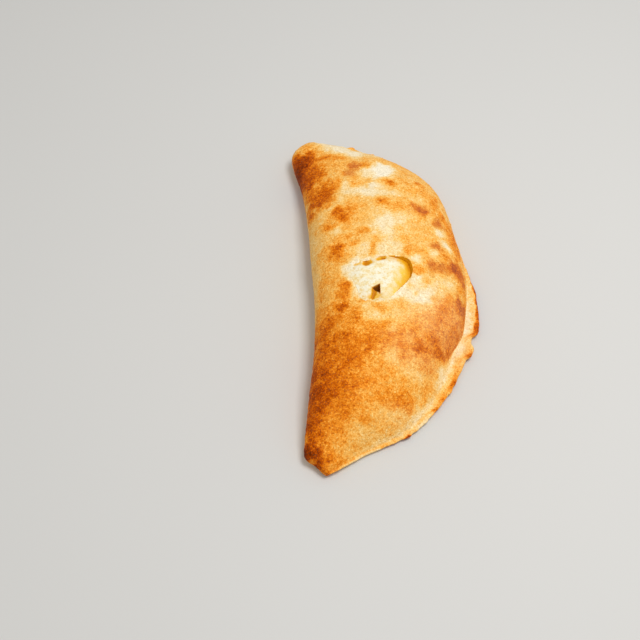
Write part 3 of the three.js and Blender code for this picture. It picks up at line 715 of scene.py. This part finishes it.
def distance_to_vent(points):
    """How far each point is outside the vent's edge in plan, and the nearest share of the edge."""
    share, edge, out = vent_outline()
    tree = KDTree(len(edge))
    for i, (x, y) in enumerate(edge):
        tree.insert((x, y, 0), i)
    tree.balance()
    away, nearest = np.full(len(points), FAR_AWAY), np.zeros(len(points))
    for i in np.flatnonzero(from_vent_centre(points) < VENT_REACH):
        x, y = points[i, :2]
        _, k, gap = tree.find((x, y, 0))
        side = (x - edge[k, 0]) * out[k, 0] + (y - edge[k, 1]) * out[k, 1]
        away[i] = math.copysign(gap, side)
        nearest[i] = share[k]
    return away, nearest


ABOVE_ALL = 100


class Dome:
    """The smooth skin seen from above: its height at any place in plan."""

    def __init__(self, points, faces):
        self.tree = BVHTree.FromPolygons(points.tolist(), faces)

    def height(self, plan):
        heights = []
        for x, y in plan:
            hit = self.tree.ray_cast(Vector((x, y, ABOVE_ALL)), Vector((0, 0, -1)))[0]
            heights.append(hit.z)
        return np.array(heights)


def vent_tool(dome):
    """The closed block that cuts the vent, with its sloping torn wall."""
    share, edge, out = vent_outline()
    slope = through(WALL_SLOPE, share) * (1 + 0.25 * rough(flat(edge), 2.4, seed=120))
    top = dome.height(edge)
    rings = []
    for level, part in WALL_LEVELS:
        plan = edge - out * (part * slope)[:, None]
        rings.append(np.column_stack([plan, top + level]))
    floor = np.column_stack([rings[-1][:, :2], np.full(VENT_POINTS, VENT_FLOOR)])
    rings = np.array(rings + [floor])
    crown = (*VENT_CENTRE, rings[0, :, 2].mean())
    return closed_mesh(rings, crown, (*VENT_CENTRE, VENT_FLOOR))


# Slots where the cheese has drawn away, as (from x, from y, to x, to y, half width, depth).
CHEESE_SLOTS = [
    (-12.0, -2.7, -10.9, -2.3, 2.4, 1.5), (-18.0, -2.6, -17.4, -2.4, 2.1, 0.6),
    (-4.6, 0.6, -0.8, 1.5, 1.5, 1.0), (-1.8, 1.3, -1.2, 1.5, 0.9, 2.4),
    (-7.6, -23.4, -7.9, -26.0, 1.8, 1.5), (-8.0, -26, -8.8, -28.4, 1.3, 1.8),
    (-6.2, -27.6, -9.5, -28.8, 2.4, 0.7), (0.8, 1.8, 6.6, 2.4, 0.9, 0.4),
]
# Shallow dimples in the cheese, as (x, y, reach, depth).
CHEESE_DIMPLES = [(-9.8, -13.8, 3.2, 0.35), (-5.8, -17.5, 2.6, 0.3), (2, -8, 3.5, 0.3),
                  (-14, -17, 3, 0.3)]
# The cheese stands a little proud of the dome, and sinks over this stretch of x towards the seam.
CHEESE_PROUD = 0.9
CHEESE_SUNK = 2.9
CHEESE_SLOPE = (0, 14)
CHEESE_RINGS = 60


def slot_depth(plan):
    """The drawn-away slots' depth at each place, and how much of a slot it is."""
    deepest, share = np.zeros(len(plan)), np.zeros(len(plan))
    frayed = 0.32 * rough(flat(plan), 2.2, seed=170, octaves=2)
    for x, y, to_x, to_y, half, depth in CHEESE_SLOTS:
        way = np.array([to_x - x, to_y - y])
        offset = plan - (x, y)
        t = np.clip(offset @ way / (way @ way), 0, 1)
        away = np.linalg.norm(offset - t[:, None] * way, axis=1) / half
        dip = ease(1.6, 0.3, away + frayed)
        deepest = np.maximum(deepest, depth * dip)
        share = np.maximum(share, dip * min(depth / 1.6, 1))
    return deepest, share


def cheese_top(plan, dome, inward):
    """Height of the melted cheese; inward is the share of the way from the edge to the middle."""
    sunk = CHEESE_SUNK * ease(*CHEESE_SLOPE, plan[:, 0]) * ease(-30, -18, plan[:, 1])
    welled = CHEESE_PROUD * ease(0, 0.5, inward)
    dips = slot_depth(plan)[0]
    for x, y, reach, depth in CHEESE_DIMPLES:
        dips = dips + depth * np.exp(-2 * ((plan[:, 0] - x) ** 2 + (plan[:, 1] - y) ** 2) / reach ** 2)
    ripple = 0.22 * rough(flat(plan), 7, seed=130) * ease(0, 0.2, inward)
    return dome.height(plan) + welled - sunk - dips + ripple


def cheese_plug(dome):
    """The welled cheese: a smooth crown that overruns the crust a little, on a stalk in the vent."""
    share, edge, out = vent_outline()
    overrun = through(OVERRUN, share) * (1 + 0.3 * rough(flat(edge), 5, seed=140))
    slope = through(WALL_SLOPE, share)
    rim = edge + out * (overrun - 0.5 * ease(0.5, 1.5, slope) * slope)[:, None]
    rings = []
    for ring in range(1, CHEESE_RINGS + 1):
        part = math.sin(ring / CHEESE_RINGS * math.pi / 2) ** 0.8
        plan = VENT_CENTRE + (rim - VENT_CENTRE) * part
        inward = np.full(VENT_POINTS, 1 - part)
        rings.append(np.column_stack([plan, cheese_top(plan, dome, inward)]))
    crown = (*VENT_CENTRE, cheese_top(np.array([VENT_CENTRE]), dome, np.ones(1))[0])
    rings[-1][:, 2] -= 0.25 * ease(0.5, 1.2, overrun)
    # From its rim the cheese turns in underneath, and then goes straight down.
    stalk = edge - out * (slope + GAP)[:, None]
    rings.append(np.column_stack([rim - out * 0.2, rings[-1][:, 2] - 0.7]))
    rings.append(np.column_stack([stalk, rings[-1][:, 2] - 0.8]))
    rings.append(np.column_stack([stalk, np.full(VENT_POINTS, CHEESE_FLOOR)]))
    return closed_mesh(np.array(rings), crown, (*VENT_CENTRE, CHEESE_FLOOR))


HOLE_POINTS = 40
HOLE_TOP = 6
# How wide the hole is at each height over the dome, as (height, share).
HOLE_LEVELS = [(HOLE_TOP, 1.0), (1.2, 1.0), (0, 0.95), (-1.5, 0.8), (-STEAM_HOLE_DEPTH, 0.4)]


def beyond_hole(plan):
    """How far each place lies outside the steam hole's three sides."""
    corners = np.array(STEAM_HOLE)
    sides = np.roll(corners, -1, axis=0) - corners
    out = np.stack([-sides[:, 1], sides[:, 0]], -1) / np.linalg.norm(sides, axis=1)[:, None]
    return ((plan[:, None, :] - corners) * out).sum(-1).max(axis=1)


def hole_tool(dome):
    """The three-cornered block that cuts the steam hole, narrowing as it goes down."""
    edge = along(smooth_line(STEAM_HOLE, closed=True), np.arange(HOLE_POINTS) / HOLE_POINTS)
    centre = edge.mean(axis=0)
    top = dome.height([centre])[0]
    rings = [np.column_stack([centre + (edge - centre) * size, np.full(HOLE_POINTS, top + level)])
             for level, size in HOLE_LEVELS]
    return closed_mesh(np.array(rings), (*centre, top + HOLE_TOP), (*centre, top - STEAM_HOLE_DEPTH))


# ---------------------------------------------------------------- crust and filling

LOFT_ROWS = 70


def inner_loft(wall):
    """The closed form inside a crust of that thickness."""
    shrink = (wall - CRUST_WALL) / FOLD_LENGTH
    start, end = FILLING_FROM + shrink, FILLING_TO - shrink
    fold, across, sizes = sections_at(row_shares(LOFT_ROWS, start, end))
    rings = place(fold, across, inner_section(sizes, wall))
    fold, across, sizes = sections_at(np.array([start, end]))
    ends = place(fold, across, np.stack([sizes["ridge"], 0.5 * sizes["height"]]))
    return closed_mesh(rings, ends[0, 0], ends[1, 0])


def crust_piece(skin, share, from_crease, from_rim, dome, shift):
    """The baked crust, with its fine relief, hollow inside and torn open at the vent."""
    points = skin.reshape(-1, 3)
    normal = outward(skin).reshape(-1, 3)
    shares = np.repeat(share, skin.shape[1])
    toast, ruddy, dusted = bake(points, normal, shares, from_crease.ravel(), from_rim.ravel())
    vent_gap, nearest = distance_to_vent(points)
    ring = through(VENT_RING, nearest)
    ragged_gap = vent_gap + 1.8 * rough(points, 4, seed=55, octaves=4)
    toast = mixed(CREAM_TOAST, toast, ease(0.3 * ring - 1, ring + 2, ragged_gap))
    off_base = ease(0.4, 4, points[:, 2])
    relief = relief_of(points, toast) * off_base
    relief *= 0.25 + 0.75 * ease(0.5, 5, np.abs(vent_gap))
    relief -= VENT_ROUNDING * (1 - ease(0, 1.6, np.abs(vent_gap)))
    raised = points + normal * relief[:, None]
    raised[:, 2] = np.maximum(raised[:, 2], 0)

    tip = (*TIP, TIP_LIFT + 0.4 * RIDGE_HEIGHT[0][1])
    points, faces = closed_mesh(raised.reshape(skin.shape), tip, (*NOSE, NOSE_LEVEL))
    crust = make_piece("crust_skin", points, faces, shift)
    # What is stored over the skin, and at the two points that close its ends.
    painted = {"toast": (toast, 0.85), "ruddy": (ruddy, 0), "dusted": (dusted, 0),
               "skin": (np.ones(len(toast)), 1)}
    for name, (values, end) in painted.items():
        write_attribute(crust.data, name, np.concatenate([[end], values, [end]]))
    combine(crust, make_piece("inner_space", *inner_loft(CRUST_WALL), shift), "DIFFERENCE")
    combine(crust, make_piece("vent_block", *vent_tool(dome), shift), "DIFFERENCE")
    # Points of the cut walls were never part of the skin, so they count as torn.
    torn = 1 - np.clip(read_attribute(crust.data, "skin"), 0, 1)
    write_attribute(crust.data, "torn", torn)
    smooth_shading(crust, sharp_above=60)
    return crust


def filling_piece(dome, shift):
    """The cheese inside the crust, welled up through the vent, with its steam hole."""
    filling = make_piece("melted_filling", *inner_loft(CRUST_WALL + GAP), shift)
    combine(filling, make_piece("welled_cheese", *cheese_plug(dome), shift), "UNION")
    combine(filling, make_piece("steam_hole", *hole_tool(dome), shift), "DIFFERENCE")
    points = read_points(filling.data, shift)
    plan = points[:, :2]
    below = dome.height(plan) - points[:, 2]
    near_vent = ease(*CHEESE_FADE, from_vent_centre(points))
    gap, nearest = distance_to_vent(points)
    towards_seam = plan[:, 0] - 0.3 * (plan[:, 1] + 12)
    beside_wall = ease(-6.5, -1.6, gap) * through(WALL_AMBER, nearest)
    sunken = np.maximum(slot_depth(plan)[1], ease(4.6, 5.6, below))
    rim = ease(-6, 0, gap + 2.5 * rough(points, 4, seed=160))
    painted = {
        # Painted shade inside the steam hole, fading through amber at its edge.
        "burnt": ease(0.7, -0.1, beyond_hole(plan)),
        "oily": near_vent * ease(1, 12, towards_seam + 2 * rough(points, 6, seed=150)),
        "gilded": near_vent * rim * through(RIM_GILDING, nearest),
        "amber": near_vent * np.maximum(sunken, beside_wall),
    }
    for name, values in painted.items():
        write_attribute(filling.data, name, np.clip(values, 0, 1))
    smooth_shading(filling, sharp_above=50)
    return filling


# ---------------------------------------------------------------- finishes

class Signal:
    """A socket whose value changes over a surface; arithmetic on it adds Math nodes."""

    def __init__(self, finish, socket):
        self.finish = finish
        self.socket = socket

    def maths(self, operation, *values):
        return self.finish.add("Math", {"operation": operation}, dict(enumerate(values)))

    def __add__(self, other):
        return self.maths("ADD", self, other)

    def __sub__(self, other):
        return self.maths("SUBTRACT", self, other)

    def __mul__(self, other):
        return self.maths("MULTIPLY", self, other)

    def __rsub__(self, other):
        return self.maths("SUBTRACT", other, self)

    __radd__ = __add__
    __rmul__ = __mul__

    def ramp(self, low, high):
        """0 below low and 1 above high, smooth between."""
        inputs = {"Value": self, "From Min": low, "From Max": high}
        return self.finish.add("MapRange", {"interpolation_type": "SMOOTHSTEP"}, inputs)


class Finish:
    """A material built from nodes, for one Principled shader."""

    def __init__(self, name, **constants):
        self.material = bpy.data.materials.new(name)
        self.material.use_nodes = True
        self.tree = self.material.node_tree
        self.shader = self.tree.nodes["Principled BSDF"]
        for socket, value in constants.items():
            self.shader.inputs[socket.replace("_", " ")].default_value = value
        self.place = self.add("TexCoord", output="Object")

    def add(self, kind, settings=None, inputs=None, output=0):
        """Any node, from its type, its settings and the values or signals of its sockets."""
        node = self.tree.nodes.new("ShaderNode" + kind)
        for name, value in (settings or {}).items():
            if name == "stops":
                self.set_stops(node.color_ramp, value)
            else:
                setattr(node, name, value)
        for name, value in (inputs or {}).items():
            self.feed(node.inputs[name], value)
        return Signal(self, node.outputs[output])

    def feed(self, socket, value):
        """Gives a socket a signal, a number or a screen colour."""
        if isinstance(value, Signal):
            self.tree.links.new(value.socket, socket)
        else:
            socket.default_value = linear(value) if isinstance(value, tuple) else value

    @staticmethod
    def set_stops(ramp, stops):
        while len(ramp.elements) < len(stops):
            ramp.elements.new(0.5)
        for element, (position, colour) in zip(ramp.elements, stops):
            element.position = position
            element.color = linear(colour)

    def painted(self, name):
        """A value that is stored on the mesh."""
        return self.add("Attribute", {"attribute_name": name}, output="Fac")

    def grain(self, size, detail=2.0, roughness=0.5):
        """Noise from 0 to 1 whose spots are about size wide."""
        inputs = {"Vector": self.place, "Scale": 1 / size, "Detail": detail, "Roughness": roughness}
        return self.add("TexNoise", {"noise_dimensions": "3D"}, inputs, "Fac")

    def pips(self, size):
        """Distance from the nearest of many scattered points, in steps of that size."""
        inputs = {"Vector": self.place, "Scale": 1 / size, "Randomness": 1.0}
        return self.add("TexVoronoi", {"feature": "F1"}, inputs, "Distance")

    def blend(self, share, under, over, how="MIX"):
        """Lays a share of one colour over another."""
        settings = {"data_type": "RGBA", "blend_type": how}
        return self.add("Mix", settings, {0: share, 6: under, 7: over}, 2)

    def bump(self, height, depth):
        return self.add("Bump", inputs={"Height": height, "Distance": depth, "Strength": 1.0})

    def done(self, **sockets):
        """The material, once its shader's sockets are fed."""
        for name, value in sockets.items():
            self.feed(self.shader.inputs[name.replace("_", " ")], value)
        return self.material


def linear(colour):
    """A screen colour from 0 to 255 as the linear colour that nodes use."""
    share = [c / 255 for c in colour]
    return (*((c / 12.92 if c <= 0.04045 else ((c + 0.055) / 1.055) ** 2.4) for c in share), 1.0)


TOAST_COLOURS = [
    (0.00, (249, 237, 210)), (0.14, (248, 222, 171)), (0.28, (249, 202, 122)), (0.42, (249, 181, 83)),
    (0.56, (242, 149, 40)), (0.68, (223, 118, 12)), (0.79, (192, 86, 2)), (0.89, (154, 59, 0)),
    (1.00, (112, 40, 0)),
]
RUDDY_BROWN = (182, 104, 70)
# The colour of painted glints in pale flecks, and the milky tint of the painted sheen.
PAINTED_GLINT = (252, 206, 138)
SHEEN_TINT = (238, 214, 190)
TORN_GOLD = (236, 174, 54)
TORN_AMBER = (214, 140, 12)


def baked_crust():
    """Golden dough, toasted and ruddy in patches, with scorched pips, painted glints on pip tops and
    pale flecks, and a painted sheen.
    """
    finish = Finish("baked crust", Specular_IOR_Level=0.03)
    toast = finish.painted("toast")
    grit = finish.grain(0.8 * MM, 1.0, 0.5)
    fine = finish.grain(1.45 * MM, 3.0, 0.65)
    mottle = finish.grain(4.5 * MM, 2.0, 0.5)
    pip = 1 - finish.pips(1.7 * MM).ramp(0.12, 0.42)
    scorch = 1 - finish.pips(2.7 * MM).ramp(0.08, 0.36)
    browned = toast.ramp(0.05, 0.5)
    fleck = grit.ramp(0.56, 0.76)
    speck = 1.15 * (fine - 0.5) + 0.85 * (grit - 0.5)
    calm = 1 - 0.5 * toast.ramp(0.6, 0.95)
    # The pips' tops are lightened as painted glints; scorch darkens as real charring.
    spots = (mottle - 0.5) * (0.07 + 0.12 * browned) - pip * browned * 0.10 + scorch * browned * 0.09
    shade = toast + speck * (0.18 + 0.20 * browned) + spots * calm
    colour = finish.add("ValToRGB", {"stops": TOAST_COLOURS}, {"Fac": shade})
    colour = finish.blend(finish.painted("ruddy") * 0.36, colour, RUDDY_BROWN)
    # Pale flecks over the browning are painted glints.
    colour = finish.blend(fleck * browned * 0.12, colour, PAINTED_GLINT)
    # The painted sheen lays a milky tint over mid browns where the slopes face the light.
    sheen_cover = finish.painted("dusted") * (1 - toast.ramp(0.45, 0.9)) * fine
    colour = finish.blend(sheen_cover * 0.24, colour, SHEEN_TINT)
    torn = finish.painted("torn")
    colour = finish.blend(torn.ramp(0, 0.5), colour, TORN_GOLD)
    colour = finish.blend(torn.ramp(0.4, 1), colour, TORN_AMBER)
    colour = finish.blend(1.0, colour, 1 - speck * 0.56, "MULTIPLY")
    height = pip * 0.5 + fine * 0.8 + scorch * 0.2
    roughness = 0.62 - 0.12 * browned - 0.10 * (fine - 0.5)
    return finish.done(Base_Color=colour, Roughness=roughness, Normal=finish.bump(height, 0.34 * MM))


CHEESE_CREAM = (247, 241, 216)
CHEESE_BUTTER = (244, 216, 144)
CHEESE_GOLD = (232, 184, 92)
CHEESE_YELLOW = (247, 206, 78)
CHEESE_DEEP_GOLD = (240, 180, 34)
CHEESE_AMBER = (206, 126, 0)
# The painted shade in the steam hole.
HOLE_SHADE_BROWN = (138, 74, 16)


def melted_cheese():
    """Cream cheese, yellow where it is oily, golden at its rim and amber where it has sunk, with
    painted shade in its steam hole.
    """
    finish = Finish("melted cheese", Specular_IOR_Level=0.15)
    cloud = finish.grain(4 * MM, 3.0).ramp(0.38, 0.66)
    fleck = finish.grain(2.0 * MM, 3.0, 0.6).ramp(0.50, 0.72)
    fine = finish.grain(1.0 * MM, 2.0)
    oily = finish.painted("oily") * (0.85 + 0.3 * cloud)
    gilded = finish.painted("gilded")
    amber = finish.painted("amber")
    burnt = finish.painted("burnt")
    colour = finish.blend(cloud * 0.7 + 0.6 * (fine - 0.5), CHEESE_CREAM, CHEESE_BUTTER)
    colour = finish.blend(fleck * (0.40 + 0.4 * gilded) + 0.40 * gilded, colour, CHEESE_GOLD)
    colour = finish.blend(oily, colour, CHEESE_YELLOW)
    colour = finish.blend(amber.ramp(0, 0.55), colour, CHEESE_DEEP_GOLD)
    colour = finish.blend(amber.ramp(0.4, 1), colour, CHEESE_AMBER)
    # The steam hole is darkened with painted shade, through amber to brown.
    colour = finish.blend(burnt.ramp(0, 0.4), colour, CHEESE_AMBER)
    colour = finish.blend(burnt.ramp(0.3, 0.9), colour, HOLE_SHADE_BROWN)
    colour = finish.blend(1.0, colour, 1 - (fine - 0.5) * 0.24, "MULTIPLY")
    height = finish.grain(2.5 * MM, 2.0) + 0.5 * fine
    roughness = 0.42 - 0.14 * oily
    return finish.done(Base_Color=colour, Roughness=roughness, Normal=finish.bump(height, 0.2 * MM))


FLOOR_LIGHT = (214, 213, 210)
FLOOR_SHADE = (208, 207, 204)


def pale_floor():
    finish = Finish("pale floor", Roughness=0.6, Specular_IOR_Level=0.2)
    mottle = finish.grain(0.2, 1.0)
    return finish.done(Base_Color=finish.blend(mottle * 0.2, FLOOR_LIGHT, FLOOR_SHADE))


# ---------------------------------------------------------------- floor, light and camera

FLOOR_HALF = 3.0
FLOOR_DROP = 0.0003
KEY_LIGHT_AT = (0.30, -0.05, 1.0)
KEY_LIGHT_SIZE = 0.38
KEY_LIGHT_POWER = 5.88
SURROUND_COLOUR = (0.97, 0.96, 0.94, 1.0)
SURROUND_STRENGTH = 0.57
CAMERA_AT = (-0.0399, -0.4291, 0.5543)
CAMERA_TILT = math.radians(36.5)
CAMERA_LENS = 61.875


def stage():
    """A wide floor just under the calzone, so that the two never share a surface."""
    around = ((-1, -1), (1, -1), (1, 1), (-1, 1))
    corners = [(FLOOR_HALF * x, FLOOR_HALF * y, -FLOOR_DROP) for x, y in around]
    mesh = bpy.data.meshes.new("floor")
    mesh.from_pydata(corners, [], [(0, 1, 2, 3)])
    floor = bpy.data.objects.new("floor", mesh)
    bpy.context.scene.collection.objects.link(floor)
    mesh.materials.append(pale_floor())


def soft_light(name, at, size, power):
    """A square lamp that faces the calzone."""
    data = bpy.data.lights.new(name, "AREA")
    data.size = size
    data.energy = power
    lamp = bpy.data.objects.new(name, data)
    lamp.location = at
    lamp.rotation_euler = (-Vector(at)).to_track_quat("-Z", "Y").to_euler()
    bpy.context.scene.collection.objects.link(lamp)


def lighting():
    soft_light("key", KEY_LIGHT_AT, KEY_LIGHT_SIZE, KEY_LIGHT_POWER)
    world = bpy.data.worlds.new("studio")
    world.use_nodes = True
    background = world.node_tree.nodes["Background"]
    background.inputs["Color"].default_value = SURROUND_COLOUR
    background.inputs["Strength"].default_value = SURROUND_STRENGTH
    bpy.context.scene.world = world
    bpy.context.scene.view_settings.view_transform = "Standard"


def camera():
    data = bpy.data.cameras.new("camera")
    data.lens = CAMERA_LENS
    view = bpy.data.objects.new("camera", data)
    view.location = CAMERA_AT
    view.rotation_euler = (CAMERA_TILT, 0, 0)
    bpy.context.scene.collection.objects.link(view)
    bpy.context.scene.camera = view


# ---------------------------------------------------------------- putting it together

def shift_onto_solid(skin):
    """The move that centres the skin across the solid crust and brings the nose ends level."""
    low, high = (np.array(corner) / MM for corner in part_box("crust"))
    x, y = skin[..., 0], skin[..., 1]
    return np.array([(low[0] + high[0]) / 2 - (x.min() + x.max()) / 2, high[1] - y.max(), 0])


def build():
    skin, share, from_crease, from_rim = smooth_skin()
    shift = shift_onto_solid(skin)
    dome = Dome(*closed_mesh(skin, (*TIP, TIP_LIFT), (*NOSE, NOSE_LEVEL)))
    crust = crust_piece(skin, share, from_crease, from_rim, dome, shift)
    filling = filling_piece(dome, shift)
    for piece, make_finish, node, slot in ((crust, baked_crust, "crust", "baked_crust"),
                                           (filling, melted_cheese, "filling", "melted_cheese")):
        piece.data.materials.clear()
        piece.data.materials.append(make_finish())
        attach(piece, "root")
        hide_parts(node)


build()
stage()
lighting()
camera()
